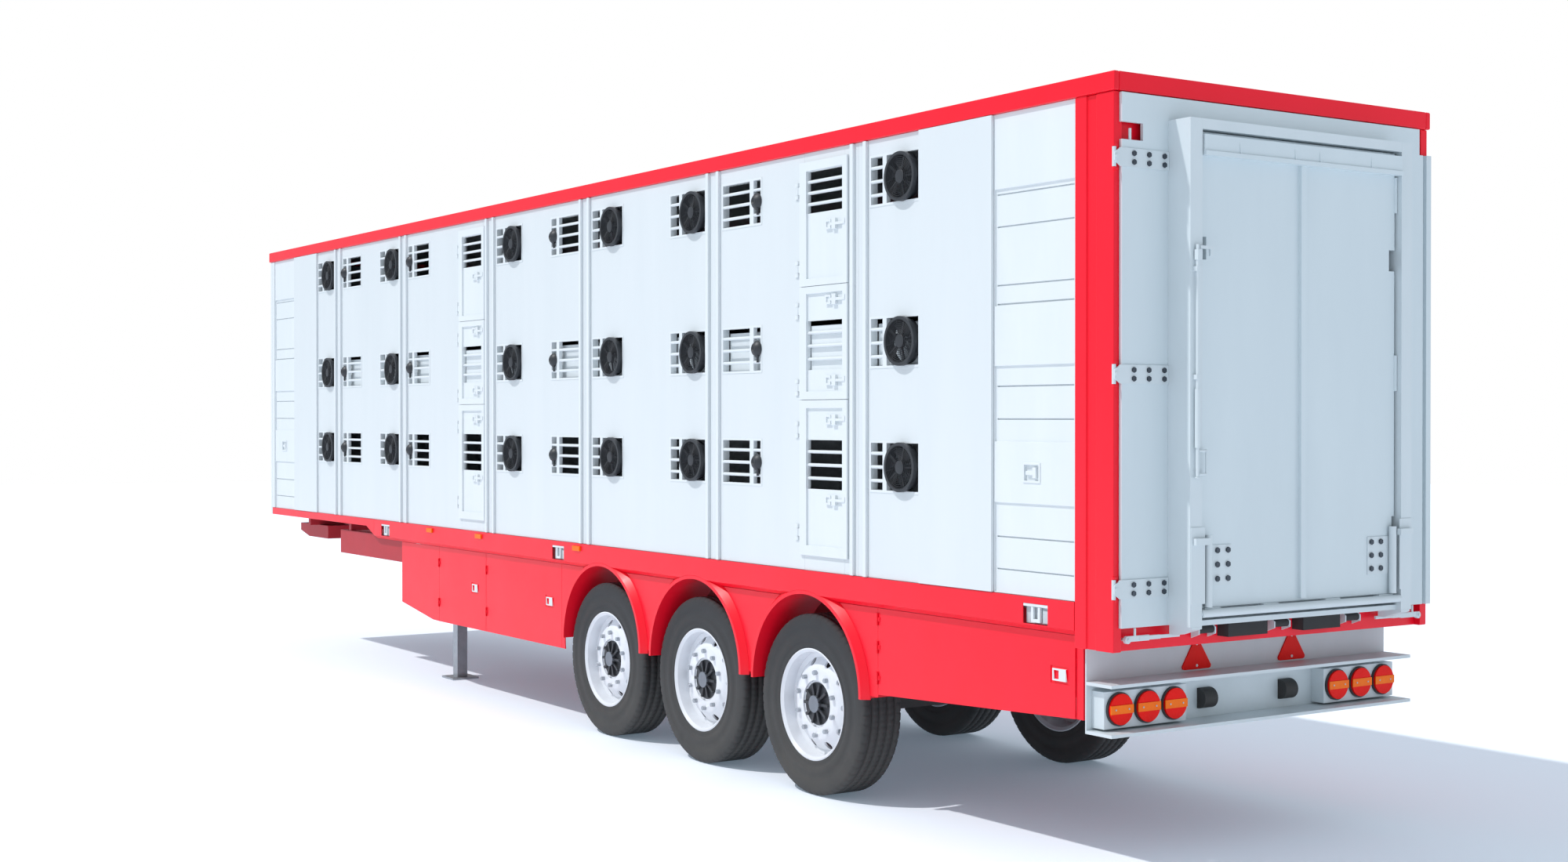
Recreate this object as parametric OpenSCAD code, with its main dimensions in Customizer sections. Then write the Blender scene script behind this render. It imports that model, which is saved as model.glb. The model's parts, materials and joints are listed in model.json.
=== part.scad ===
// Three-deck livestock semi-trailer: +X is the rear, -Y the left side, Z = 0 the ground.
// Stations are distances forward of the rear post plane, in millimetres.

/* [Body] */
// Length from the front wall to the rear post plane
body_len = 13380; // [13200:10:13600]
// Half width at the posts, valances and fender faces
half_w = 1265; // [1255:1:1275]
// Half width at the outer face of the white walls
wall_out = 1255; // [1250:1:1258]
// Thickness of the side walls
wall_t = 50; // [40:1:60]
// Bottom of the white walls and top of the red valance
wall_z0 = 1470; // [1460:1:1480]
// Underside of the red top rim
rim_z0 = 4172; // [4160:1:4190]
// Top of the red top rim
rim_z1 = 4276; // [4265:1:4300]
// Window height on every deck
win_h = 302; // [290:1:310]
// Window width
win_w = 490; // [480:1:495]

/* [Running gear] */
// Tyre outer radius, and so the axle height
tyre_r = 590; // [580:1:600]
// Tyre width
tyre_w = 312; // [300:1:320]
// Outer face of the tyres
tyre_out = 1212; // [1205:1:1218]
// Distance between axles
axle_pitch = 1400; // [1390:1:1410]
// Station of the rearmost axle
axle_s = 2890; // [2880:1:2900]
// Radius of the rim flange
rim_r = 366; // [355:1:370]

/* [Rear door and ramp] */
// How far the box frame stands behind the rear posts
box_d = 186; // [180:1:195]
// Half width of the box frame
box_w = 893; // [885:1:900]
// Thickness of the loading ramp
ramp_t = 37; // [30:1:40]

/* [Hidden] */
$fn = 48;
x_rear = (body_len + 20 - box_d - 34) / 2;
deck_z = [2159, 2922, 3915];
fan_s = [1674, 4128, 5333, 7069, 9702, 11407];
water_s = [3408, 6038, 9002, 10692];
rib_s = [2190, 2328, 3930, 4067, 5849, 5986, 7590, 7727, 9513, 9650, 11221, 11358];
door_s = [2397, 7791];
leaf_z = [[1568, 2572], [2576, 3304], [3308, 4111]];
tray_z = [[1631, 2522], [2626, 3260], [3354, 4053]];
vent_z = [[1999, 2315], [2767, 3083], [3778, 4046]];
hinge_z = [[1713, 2380], [2655, 3152], [3425, 3932]];
latch_z = [[1934, 2446], [2697, 3212], [3690]];
leaf_w = 533;
pin_s = 551;
axles = [0, 1, 2];
arch_z = 702;
arch_r = 610;
skirt_y = 1220;
rear_strap_z = [1557, 2687, 3824];
hinge_y = -1274;
hinge_x = x_rear + 13;
ramp_x = x_rear + 175;
ramp_z = 1419;
lamp_y = [662, 864, 1066];
leg_s = 9350;
leg_y = 800;
king_s = 12000;
inner_y = wall_out - wall_t;

// A block from station s0 forward to s1.
module blk(s0, s1, y0, y1, z0, z1) {
  translate([x_rear - s1, y0, z0]) cube([s1 - s0, y1 - y0, z1 - z0]);
}

// A block measured rearward from the rear post plane.
module rblk(x0, x1, y0, y1, z0, z1) {
  translate([x_rear + x0, y0, z0]) cube([x1 - x0, y1 - y0, z1 - z0]);
}

module left() {
  mirror([0, 1, 0]) children();
}

module both() {
  children();
  mirror([0, 1, 0]) children();
}

// A round bar along X at station s0 to s1.
module bar_x(s0, s1, y, z, r) {
  translate([x_rear - s1, y, z]) rotate([0, 90, 0]) cylinder(h = s1 - s0, r = r, $fn = 24);
}

// A round bar along Y.
module bar_y(x, y0, y1, z, r) {
  translate([x, y0, z]) rotate([-90, 0, 0]) cylinder(h = y1 - y0, r = r);
}

// A prism whose outline is in the X-Z plane, from y0 to y1.
module prism_y(y0, y1, pts) {
  translate([0, y1, 0]) rotate([90, 0, 0]) linear_extrude(y1 - y0) polygon(pts);
}

function axle_x(i) = x_rear - axle_s - i * axle_pitch;

module chassis_frame() {
  color("crimson") {
    for (y = [-500, 500]) {
      blk(345, 11000, y - 6, y + 6, 1026, 1304);
      blk(345, 11000, y - 70, y + 70, 1010, 1026);
      blk(345, 11000, y - 70, y + 70, 1304, 1318);
      blk(11000.5, 13250, y - 6, y + 6, 1200, 1304);
      blk(11000.5, 13250, y - 70, y + 70, 1184, 1200);
      blk(11000.5, 13250, y - 70, y + 70, 1304, 1318);
    }
    for (i = [0 : 10]) blk(500 + i * 1180, 560 + i * 1180, -1200, 1200, 1320, 1400);
    both() blk(9560, 11390, 1150, 1208, 1085, 1318);
    both() prism_y(820, 1100, [[x_rear - 12050, 1184], [x_rear - 12620, 1184],
      [x_rear - 12880, 1240], [x_rear - 12880, 1318], [x_rear - 12050, 1318]]);
  }
}

module coupler_plate() {
  color("dimgray") {
    blk(king_s - 650, king_s + 780, -425, 425, 1173.5, 1183.5);
    translate([x_rear - king_s, 0, 1149]) cylinder(h = 25, r = 36.5);
    translate([x_rear - king_s, 0, 1113]) cylinder(h = 36, r = 25.4);
    translate([x_rear - king_s, 0, 1095]) cylinder(h = 18, r = 35.7);
  }
}

module leg_housings() {
  color("crimson") both() {
    difference() {
      blk(leg_s - 65, leg_s + 65, leg_y - 65, leg_y + 65, 590, 1318);
      blk(leg_s - 57, leg_s + 57, leg_y - 57, leg_y + 57, 580, 1306);
    }
    blk(leg_s - 40, leg_s + 40, 571, leg_y - 65, 1120, 1200);
  }
}

module leg() {
  color("silver") {
    difference() {
      blk(leg_s - 50, leg_s + 50, leg_y - 50, leg_y + 50, 18, 755);
      blk(leg_s - 42, leg_s + 42, leg_y - 42, leg_y + 42, 30, 760);
    }
    blk(leg_s - 130, leg_s + 130, leg_y - 130, leg_y + 130, 0, 18);
  }
}

module floor_plate() {
  color("silver") {
    blk(300.5, 13328, -1234, 1234, 1401, 1469);
    blk(110, 300.5, -1207, 1207, 1401, 1469);
  }
}

module deck(z) {
  color("silver") blk(150, 13240, -1195, 1195, z, z + 60);
}

// A wall plate between two stations with its windows cut in to depth y_in.
module wall_plate(s0, s1, y_in) {
  difference() {
    blk(s0, s1, inner_y, wall_out, wall_z0, rim_z0);
    for (s = concat(fan_s, water_s)) if (s > s0 && s < s1) for (z = deck_z)
      blk(s, s + win_w, y_in, wall_out + 1, z - win_h / 2, z + win_h / 2);
  }
}

// The rails left standing above, between and below the three side doors of one column.
module door_rails(s) {
  blk(s + 43.5, s + 492.5, inner_y, wall_out, wall_z0, 1622);
  blk(s + 43.5, s + 492.5, inner_y, wall_out, 2531, 2617);
  blk(s + 43.5, s + 492.5, inner_y, wall_out, 3269, 3345);
  blk(s + 43.5, s + 492.5, inner_y, wall_out, 4062, rim_z0);
}

module ledges() {
  for (z = [2474, 3206]) blk(350, 13250, inner_y - 42, inner_y - 0.4, z, z + 38);
}

// The smooth proud cover panel over a wall joint.
module cover(s0, s1) {
  blk(s0, s1, wall_out + 0.2, half_w + 8, wall_z0 + 2, rim_z0 - 1);
}

module wall_left() {
  color("aliceblue") left() {
    wall_plate(985, 2294, inner_y - 1);
    wall_plate(2295, 2440, inner_y - 1);
    door_rails(door_s[0]);
    wall_plate(2890, 3996, inner_y - 1);
    wall_plate(3997, 5950, inner_y - 1);
    wall_plate(5951, 7673, inner_y - 1);
    wall_plate(7674, 7834, inner_y - 1);
    door_rails(door_s[1]);
    wall_plate(8284, 9597, inner_y - 1);
    wall_plate(9598, 11305, inner_y - 1);
    wall_plate(11306, 12598, inner_y - 1);
    cover(985, 1660);
    cover(11915, 12598);
    ledges();
    for (s = concat(fan_s, water_s))
      blk(s + 12, s + win_w - 12, 1197, 1203, deck_z[1] - 148, deck_z[1] + 118);
  }
}

module wall_right() {
  color("aliceblue") {
    wall_plate(985, 2294, inner_y + 1.5);
    wall_plate(2295, 3996, inner_y + 1.5);
    wall_plate(3997, 5950, inner_y + 1.5);
    wall_plate(5951, 7673, inner_y + 1.5);
    wall_plate(7674, 9597, inner_y + 1.5);
    wall_plate(9598, 11305, inner_y + 1.5);
    wall_plate(11306, 12598, inner_y + 1.5);
    cover(985, 1660);
    cover(11915, 12598);
    ledges();
  }
}

module wall_ribs() {
  color("white") both() for (s = rib_s)
    blk(s, s + 33, wall_out + 0.2, wall_out + 21, wall_z0 + 2, rim_z0 - 3);
}

module front_wall() {
  color("white") {
    blk(13330, 13380, -half_w, half_w, 1396, rim_z0);
    both() blk(13260, 13329.5, inner_y, half_w, wall_z0, rim_z0);
  }
}

module roof_panel() {
  color("white") blk(22, 13363, -1238, 1238, 4230, 4268);
}

module top_rim() {
  color("red") {
    both() blk(-15, 13400, 1239, 1275, rim_z0 + 1, rim_z1);
    blk(-15, 21, -1238, 1238, rim_z0 + 1, rim_z1);
    blk(13364, 13400, -1238, 1238, rim_z0 + 1, rim_z1);
  }
}

module rear_frame() {
  color("red") {
    both() difference() {
      blk(0, 299.5, 1208, half_w, 1223, rim_z0);
      blk(136, 208, 1255, half_w + 1, 1220, rim_z0 + 1);
    }
    blk(30, 100, -1207, 1207, 3923, rim_z0);
    blk(40, 108, -1207, 1207, 1223, 1398);
  }
}

// Valance sheet: an upright band whose lower edge turns inward, cut out over the arches.
module valance() {
  difference() {
    union() {
      translate([x_rear - 10340, 0, 0]) rotate([90, 0, 90]) linear_extrude(10340 - 302)
        polygon([[1259, 1469], [half_w, 1469], [half_w, 1315], [1222, 1284], [1222, 1290],
          [1259, 1317]]);
      prism_y(1259, half_w, [[x_rear - 10340.5, 1315], [x_rear - 10340.5, 1469],
        [x_rear - 13325, 1469], [x_rear - 13325, 1397], [x_rear - 10540, 1397]]);
    }
    for (i = axles) translate([axle_x(i), half_w + 0.01, arch_z]) rotate([90, 0, 0])
      cylinder(h = 46, r1 = arch_r + 26, r2 = arch_r + 64, $fn = 96);
    for (i = axles) bar_y(axle_x(i), half_w - 1, half_w + 1, arch_z, arch_r + 26);
    for (s = [515, 6296, 9948])
      blk(s, s + 205, 1240, half_w + 1, 1320, 1432);
  }
}

module valances() {
  color("red") both() valance();
}

module skirt_side() {
  difference() {
    union() {
      prism_y(1212, skirt_y, [[x_rear - 8868, 1282], [x_rear - 9743, 1282],
        [x_rear - 9743, 713], [x_rear - 9006, 606], [x_rear - 8868, 604]]);
      prism_y(1212, skirt_y, [[x_rear - 2136, 1282], [x_rear - 6418, 1282],
        [x_rear - 6418, 604], [x_rear - 6340, 604], [x_rear - 6340, 727],
        [x_rear - 2136, 727]]);
    }
    for (i = axles) bar_y(axle_x(i), 1200, 1230, arch_z, arch_r + 64);
    for (i = axles) translate([axle_x(i) - arch_r - 40, 1200, 600])
      cube([2 * arch_r + 80, 30, arch_z - 599]);
  }
}

module skirts() {
  color("red") {
    left() skirt_side();
    left() rear_strip();
    left() blk(7849.5, 7872, 1212, skirt_y, 604, 1282);
    difference() {
      union() {
        skirt_side();
        prism_y(1212, skirt_y, [[x_rear - 6418, 1282], [x_rear - 8867.5, 1282],
          [x_rear - 8867.5, 604], [x_rear - 6418, 604]]);
        prism_y(1212, skirt_y, [[x_rear - 342, 1282], [x_rear - 2135.5, 1282],
          [x_rear - 2135.5, 745], [x_rear - 342, 829]]);
      }
      bar_y(axle_x(0), 1200, 1230, arch_z, arch_r + 64);
    }
    rear_strip();
  }
}

module rear_strip() {
  blk(284, 340, 1198, 1212, 829, 1222);
}

// One fender: an arch shell over the tyre with a face band that flares in to the skirt.
module fender(i) {
  translate([axle_x(i), 0, arch_z]) rotate([90, 0, 0]) rotate_extrude(angle = 180, $fn = 96)
    polygon([[arch_r, -half_w], [arch_r + 25, -half_w], [arch_r + 62, -skirt_y],
      [arch_r + 62, -skirt_y + 6], [arch_r + 58, -skirt_y + 6], [arch_r + 24, -half_w + 8],
      [arch_r + 6, -half_w + 8], [arch_r + 6, -885], [arch_r, -885]]);
}

module fenders() {
  color("red") both() for (i = axles) fender(i);
}

// Slatted shutter panel: plates with three recessed bays of flat boards.
module slat_panel(s0, s1) {
  difference() {
    blk(s0, s1, inner_y, wall_out - 1, wall_z0, rim_z0);
    for (b = [[3090, 3748], [2325, 2751], [1477, 1981]])
      blk(s0 + 12, s1 - 6, wall_out - 11, wall_out, b[0], b[1]);
    for (z = [3717, 3535, 3205, 3098, 2636, 2451, 1788, 1605])
      blk(s0 + 24, s1 - 18, wall_out - 24, wall_out, z - 4, z + 4);
    blk(s0 + 290, s0 + 423, wall_out - 13, wall_out, 2104, 2204);
  }
  difference() {
    blk(s0 + 284, s0 + 429, wall_out - 13, wall_out + 5, 2098, 2210);
    blk(s0 + 296, s0 + 417, wall_out - 12, wall_out + 6, 2110, 2198);
  }
  blk(s0 + 330, s0 + 405, wall_out - 13, wall_out + 4, 2142, 2164);
  blk(s0 + 318, s0 + 346, wall_out - 13, wall_out + 6, 2124, 2184);
}

module slat_panels() {
  color("white") both() {
    slat_panel(301, 984);
    slat_panel(12599.5, 13259);
  }
}

// One window insert: flange, sleeve, mullion and three round bars.
module insert(s, z, m0, m1, b0, b1) {
  difference() {
    union() {
      blk(s - 9, s + win_w + 9, wall_out + 0.2, wall_out + 3.2, z - 160, z + 160);
      blk(s + 1, s + win_w - 1, inner_y + 2, wall_out + 1, z - 150, z + 150);
    }
    blk(s + 6, s + win_w - 6, inner_y, wall_out + 4, z - 145, z + 145);
  }
  blk(s + m0, s + m1, wall_out - 26, wall_out + 3, z - 147, z + 147);
  for (d = [80, -4, -88]) bar_x(s + b0, s + b1, wall_out - 8, z + d, 11);
}

module window_grilles() {
  color("white") both() for (z = deck_z) {
    for (s = fan_s) insert(s, z, 323, 363, 343, 487);
    insert(water_s[0], z, 93, 141, 3, 487);
    for (i = [1 : 3]) insert(water_s[i], z, 349, 397, 3, 487);
  }
}

// A round fan: ring, drum, hub and five struts.
module fan(s, z) {
  translate([x_rear - s - 162, 0, z]) rotate([-90, 0, 0]) {
    difference() {
      union() {
        translate([0, 0, wall_out + 3.7]) cylinder(h = 30, r = 150);
        translate([0, 0, wall_out - 35]) cylinder(h = 40, r = 138);
      }
      translate([0, 0, wall_out - 36]) cylinder(h = 90, r = 132);
    }
    translate([0, 0, wall_out + 8]) cylinder(h = 20, r = 44);
    for (k = [0 : 4]) rotate([0, 0, 72 * k]) translate([0, -5, wall_out + 12])
      cube([140, 10, 10]);
  }
}

module vent_fans() {
  color("dimgray") both() for (s = fan_s) for (z = deck_z) fan(s, z);
}

// A drinker bowl with its nipple below, standing in front of the bars.
module drinker(s, z) {
  difference() {
    intersection() {
      translate([x_rear - s, wall_out - 20, z]) sphere(r = 62);
      translate([x_rear - s - 70, wall_out + 3.7, z - 70]) cube([140, 60, 140]);
    }
    translate([x_rear - s, wall_out + 62, z + 6]) sphere(r = 34);
  }
  translate([x_rear - s + 22, wall_out + 14, z - 92]) cylinder(h = 50, r = 8);
}

module drinkers() {
  color("dimgray") both() for (z = deck_z) {
    drinker(water_s[0] + 47, z);
    for (i = [1 : 3]) drinker(water_s[i] + 443, z);
  }
}

// A hasp: square ring, cross block, arm and end knob.
module hasp(s, z) {
  difference() {
    blk(s + 178, s + 240, wall_out + 2, wall_out + 17, z - 30, z + 30);
    blk(s + 190, s + 226, wall_out + 9, wall_out + 18, z - 17, z + 17);
  }
  blk(s + 120, s + 162, wall_out + 2, wall_out + 21, z - 34, z + 34);
  blk(s + 20, s + 180, wall_out + 10, wall_out + 20, z - 9, z + 9);
  blk(s + 20, s + 46, wall_out + 10, wall_out + 21, z - 4, z + 24);
}

// One side door leaf of column c and deck d, with its knuckles, bars and latch hasps.
module side_door(c, d) {
  s = door_s[c];
  color("white") left() {
    difference() {
      union() {
        blk(s, s + leaf_w, wall_out + 2, wall_out + 16, leaf_z[d][0], leaf_z[d][1]);
        blk(s + 49, s + 456, wall_out - 20, wall_out + 3, tray_z[d][0], tray_z[d][1]);
      }
      blk(s + 51, s + 454, wall_out + 3, wall_out + 17, tray_z[d][0] + 2, tray_z[d][1] - 2);
      blk(s + 55, s + 450, wall_out - 21, wall_out + 17, vent_z[d][0], vent_z[d][1]);
    }
    for (k = [0 : 2]) bar_x(s + 50, s + 455, wall_out - 6,
      vent_z[d][0] + (vent_z[d][1] - vent_z[d][0]) * (0.22 + 0.27 * k), 11);
    if (d == 1) blk(s + 60, s + 445, wall_out - 26, wall_out - 19.5, vent_z[d][0] - 6, 3052);
    for (z = latch_z[d]) hasp(s, z);
    for (z = hinge_z[d]) {
      blk(s + leaf_w - 30, s + pin_s - 9, wall_out + 10, wall_out + 16, z - 25, z + 25);
      difference() {
        translate([x_rear - s - pin_s, wall_out + 13, z - 25]) cylinder(h = 50, r = 10);
        translate([x_rear - s - pin_s, wall_out + 13, z - 26]) cylinder(h = 52, r = 5.06);
      }
    }
  }
}

module pin_hinge(s, y, z, r, h, w) {
  translate([x_rear - s, y, z - h]) cylinder(h = 2 * h, r = r / 2);
  for (d = [-h, h - 24]) {
    translate([x_rear - s, y, z + d]) cylinder(h = 24, r = r);
    blk(s, s + w, y - r, y - r + 6, z + d, z + d + 24);
  }
}

module hinge_pins() {
  color("lightgray") {
    left() for (c = [0, 1]) for (d = [0 : 2]) for (z = hinge_z[d])
      pin_hinge(door_s[c] + pin_s, wall_out + 13, z, 10, 52, 42);
    left() for (z = [777, 1138]) for (s = [7847, 8866])
      pin_hinge(s, skirt_y + 7, z, 6, 38, 18);
    left() for (z = [849, 1040, 1213]) pin_hinge(2135, skirt_y + 7, z, 6, 38, 18);
    for (z = rear_strap_z) {
      translate([hinge_x, hinge_y, z - 66]) cylinder(h = 132, r = 6);
      for (d = [-66, 54]) {
        translate([hinge_x, hinge_y, z + d]) cylinder(h = 12, r = 11);
        translate([x_rear + 0.3, hinge_y - 3, z + d]) cube([10, 34, 12]);
      }
    }
  }
}

// A locker door hinged on its front edge, with a recessed handle and a loop pull.
module locker_door(s0, s1, outline, hz, hs, zs) {
  color("red") left() {
    difference() {
      prism_y(1212, skirt_y, outline);
      blk(hs, hs + 150, 1215, skirt_y + 1, hz - 48, hz + 48);
      bar_y(axle_x(0), 1200, 1230, arch_z, arch_r + 64);
      bar_y(axle_x(2), 1200, 1230, arch_z, arch_r + 64);
    }
    difference() {
      blk(hs + 20, hs + 130, 1214.5, skirt_y + 6, hz - 34, hz + 34);
      blk(hs + 78, hs + 118, 1216, skirt_y + 7, hz - 24, hz + 24);
    }
    for (z = zs) difference() {
      union() {
        blk(s1 - 20, s1, skirt_y - 2, skirt_y + 5, z - 13, z + 13);
        translate([x_rear - s1 - 1, skirt_y + 7, z - 13]) cylinder(h = 26, r = 6);
      }
      translate([x_rear - s1 - 1, skirt_y + 7, z - 14]) cylinder(h = 28, r = 3.05);
    }
  }
}

module locker_door_front() {
  locker_door(7874, 8865, [[x_rear - 7874, 1282], [x_rear - 8865, 1282], [x_rear - 8865, 604],
    [x_rear - 7874, 604]], 963, 8010, [777, 1138]);
}

module locker_door_middle() {
  locker_door(6420, 7846, [[x_rear - 6420, 1282], [x_rear - 7846, 1282], [x_rear - 7846, 604],
    [x_rear - 6420, 604]], 963, 6560, [777, 1138]);
}

module locker_door_rear() {
  locker_door(342, 2134, [[x_rear - 342, 1282], [x_rear - 2134, 1282], [x_rear - 2134, 745],
    [x_rear - 342, 829]], 1055, 390, [849, 1040, 1213]);
}

module axle_beams() {
  color("dimgray") for (i = axles) {
    translate([axle_x(i) - 75, -850, tyre_r - 75]) cube([150, 1700, 150]);
    both() bar_y(axle_x(i), 849, 1120, tyre_r, 45);
  }
}

// Trailing arms with their hangers under each main beam.
module suspension_arms() {
  color("dimgray") both() for (i = axles) {
    translate([axle_x(i) - 500, 455, 665.5]) cube([900, 90, 62]);
    translate([axle_x(i) - 560, 440, 700]) cube([90, 14.5, 309.5]);
    translate([axle_x(i) - 560, 545.5, 700]) cube([90, 14.5, 309.5]);
    bar_y(axle_x(i) - 515, 440, 560, 735, 16);
  }
}

module air_springs() {
  color("black") both() for (i = axles)
    translate([axle_x(i) + 300, 500, 728]) rotate_extrude() polygon([[0, 0], [85, 0],
      [90, 40], [130, 70], [145, 110], [130, 150], [140, 190], [130, 240], [100, 281],
      [0, 281]]);
}

// Tyre ring about its own axis: bead, sidewalls, shoulders and four grooves.
module tyre(i) {
  color("black") translate([axle_x(i), tyre_out, tyre_r]) rotate([90, 0, 0])
    rotate_extrude($fn = 96) polygon(concat([[rim_r - 16, 24], [rim_r + 4, 10], [rim_r + 50, 2],
      [500, 0], [560, 2], [581, 8], [tyre_r, 20]],
      [for (g = [0 : 3]) for (p = [[0, 0], [-14, 1], [-14, 9], [0, 10]])
        [tyre_r + p[0], 66 + g * 57 + p[1]]],
      [[tyre_r, tyre_w - 20], [581, tyre_w - 8], [560, tyre_w - 2], [500, tyre_w],
      [rim_r + 50, tyre_w - 2], [rim_r + 4, tyre_w - 10], [rim_r - 16, tyre_w - 24]]));
}

// Rim, dished disc with ten hand holes, ten nuts and a finned hub.
module wheel(i) {
  color("white") translate([axle_x(i), tyre_out, tyre_r]) rotate([90, 0, 0]) {
    difference() {
      rotate_extrude($fn = 96) polygon([[rim_r, 9.5], [rim_r - 8, 6], [rim_r - 26, 22],
        [rim_r - 30, 100], [rim_r - 62, 108], [rim_r - 100, 74], [rim_r - 140, 50], [154, 50],
        [154, 62], [rim_r - 142, 62], [rim_r - 106, 86], [rim_r - 66, 122],
        [rim_r - 30, 116], [rim_r - 30, tyre_w - 24], [rim_r - 8, tyre_w - 6],
        [rim_r, tyre_w - 9.5], [rim_r - 16.5, tyre_w - 23], [rim_r - 22, tyre_w - 40],
        [rim_r - 22, 40], [rim_r - 16.5, 23]]);
      for (k = [0 : 9]) rotate([0, 0, 36 * k]) translate([rim_r - 88, 0, 60])
        cylinder(h = 70, r = 26);
    }
    for (k = [0 : 9]) rotate([0, 0, 36 * k + 18]) translate([204, 0, 24])
      cylinder(h = 26.5, r = 16, $fn = 6);
    difference() {
      union() {
        translate([0, 0, 60]) cylinder(h = 150, r = 140);
        translate([0, 0, 62.5]) cylinder(h = 14, r = 190);
        translate([0, 0, 26]) cylinder(h = 35, r = 56);
        for (k = [0 : 9]) rotate([0, 0, 36 * k]) translate([50, -9, 40]) cube([84, 18, 22]);
      }
      translate([0, 0, 88]) cylinder(h = 130, r = 45.06);
    }
  }
}

// Rear door leaf with a notch at its top hinge corner and a cover edge on the right.
module rear_door() {
  color("lightsteelblue") {
    difference() {
      rblk(2, 22, -1227, 1201, 1352, 4166);
      rblk(0, 30, 1168, 1230, 4014, 4200);
      rblk(0, 30, -1230, -1076, 3919, 4011);
    }
    rblk(2, 7, 1200, 1262, 1352, 4014);
    rblk(2, 32, 1220, 1262, 1352, 4014);
    rblk(4, 22, -1220, -1100, 3880, 3918.5);
    translate([x_rear + 12, -1162, 3900]) cylinder(h = 80, r = 8);
  }
}

// Box frame around the ramp: two stiles, top rail, sill, gussets and clamp plates.
module door_box() {
  color("lightsteelblue") {
    for (m = [0, 1]) mirror([0, m, 0]) {
      rblk(22.3, box_d, 803, box_w, 1352, 4042);
      rblk(box_d, box_d + 5, 786, 890, 1473, 1879);
      rblk(box_d, box_d + 28, 769, 875, 1786, 1822);
      bar_y(ramp_x, 778, 810, ramp_z, 12);
      prism_y(804, 880, [[x_rear + 22.3, 1300], [x_rear + 60, 1300], [x_rear + box_d, 1340],
        [x_rear + box_d, 1351.5], [x_rear + 22.3, 1351.5]]);
    }
    for (z = [2660, 3230]) difference() {
      rblk(box_d - 1, box_d + 30, -874, -844, z, z + 26);
      translate([x_rear + box_d + 20, -859, z - 1]) cylinder(h = 28, r = 9.06);
    }
    rblk(22.3, box_d, -802.5, 802.5, 3986, 4042);
    rblk(22.3, 150, -802.5, 802.5, 1352, 1380);
  }
}

// Flat straps with chamfered eyes, barrels and their bolts.
module strap_hinges() {
  color("lightgray") for (z = rear_strap_z) {
    difference() {
      union() {
        translate([x_rear + 22.3, 0, z]) rotate([90, 0, 90]) linear_extrude(8)
          polygon([[-894, -50], [-894, 50], [-1242, 50], [-1284, 22], [-1284, -22],
            [-1242, -50]]);
        translate([hinge_x, hinge_y, z - 52]) cylinder(h = 104, r = 11);
      }
      translate([hinge_x, hinge_y, z - 53]) cylinder(h = 106, r = 6.06);
    }
    for (y = [-1150, -1042, -930]) for (d = [-23, 23]) translate([x_rear + 30.6, y, z + d])
      rotate([0, 90, 0]) cylinder(h = 9, r = 15, $fn = 6);
    translate([x_rear + 30.4, hinge_y + 4, z]) rotate([0, 90, 0]) cylinder(h = 5, r = 12);
  }
}

// Folding ramp panel with edge notches, a centre strip and a ground lip with gussets.
module ramp() {
  color("lightsteelblue") {
    difference() {
      rblk(149 - ramp_t, 149, -786, 786, 1447, 3978);
      for (m = [0, 1]) mirror([0, m, 0]) {
        rblk(100, 160, 738, 800, 3301, 3421);
        rblk(90, 160, 766, 800, 1440, 1890);
      }
    }
    for (m = [0, 1]) mirror([0, m, 0]) for (z = [2613, 3636])
      rblk(122, 158, 780, 799, z, z + 204);
    rblk(147, 172, -22, 22, 1460, 3943);
    rblk(147, 178, -795, 795, 3940, 3960);
    rblk(170, 196, -795, 795, 3870, 3960);
    rblk(147, 206, -795, 795, 3848, 3873);
    for (y = [-530, -100, 100, 530]) prism_y(y - 4, y + 4, [[x_rear + 190, 3950],
      [x_rear + 195, 3950], [x_rear + 204, 3865], [x_rear + 190, 3865]]);
  }
}

// Hinge tube on the ramp with its link strips, bolted leaves, barrels and bolts.
module ramp_hinges() {
  color("lightgray") {
    difference() {
      union() {
        bar_y(ramp_x, -799, 799, ramp_z, 22);
        for (y = [-700, -250, 250, 700]) rblk(122, 165, y - 60, y + 60, 1424, 1446.5);
      }
      bar_y(ramp_x, -800, -770, ramp_z, 12.06);
      bar_y(ramp_x, 770, 800, ramp_z, 12.06);
    }
    for (m = [0, 1]) mirror([0, m, 0]) {
      rblk(149.3, 155, 552, 730, 1564, 1779);
      difference() {
        translate([x_rear + 174, 744, 1452]) cylinder(h = 383, r = 21.5);
        rblk(140, 153, 700, 780, 1440, 1850);
      }
      for (y = [580, 660]) for (z = [1598, 1674, 1750]) translate([x_rear + 155.2, y, z])
        rotate([0, 90, 0]) cylinder(h = 10, r = 16, $fn = 6);
    }
  }
}

// Lock bar on the left stile: rod, sleeve, hook and a loop handle.
module lock_bar() {
  color("lightgray") {
    translate([x_rear + box_d + 20, -859, 2147]) cylinder(h = 1225, r = 9);
    translate([x_rear + box_d + 20, -859, 2300]) cylinder(h = 310, r = 14);
    translate([x_rear + box_d + 20, -859, 2140]) cylinder(h = 6, r = 13);
    rblk(box_d + 8, box_d + 34, -871, -838, 3290, 3345);
    rblk(box_d + 10, box_d + 28, -846, -752, 3350, 3366);
    rblk(box_d + 12, box_d + 26, -770, -752, 3314, 3366);
    for (z = [2160, 2284]) bar_y(x_rear + box_d + 20, -849.6, -799.4, z, 7);
    translate([x_rear + box_d + 20, -792, 2152]) cylinder(h = 140, r = 7);
  }
}

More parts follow.
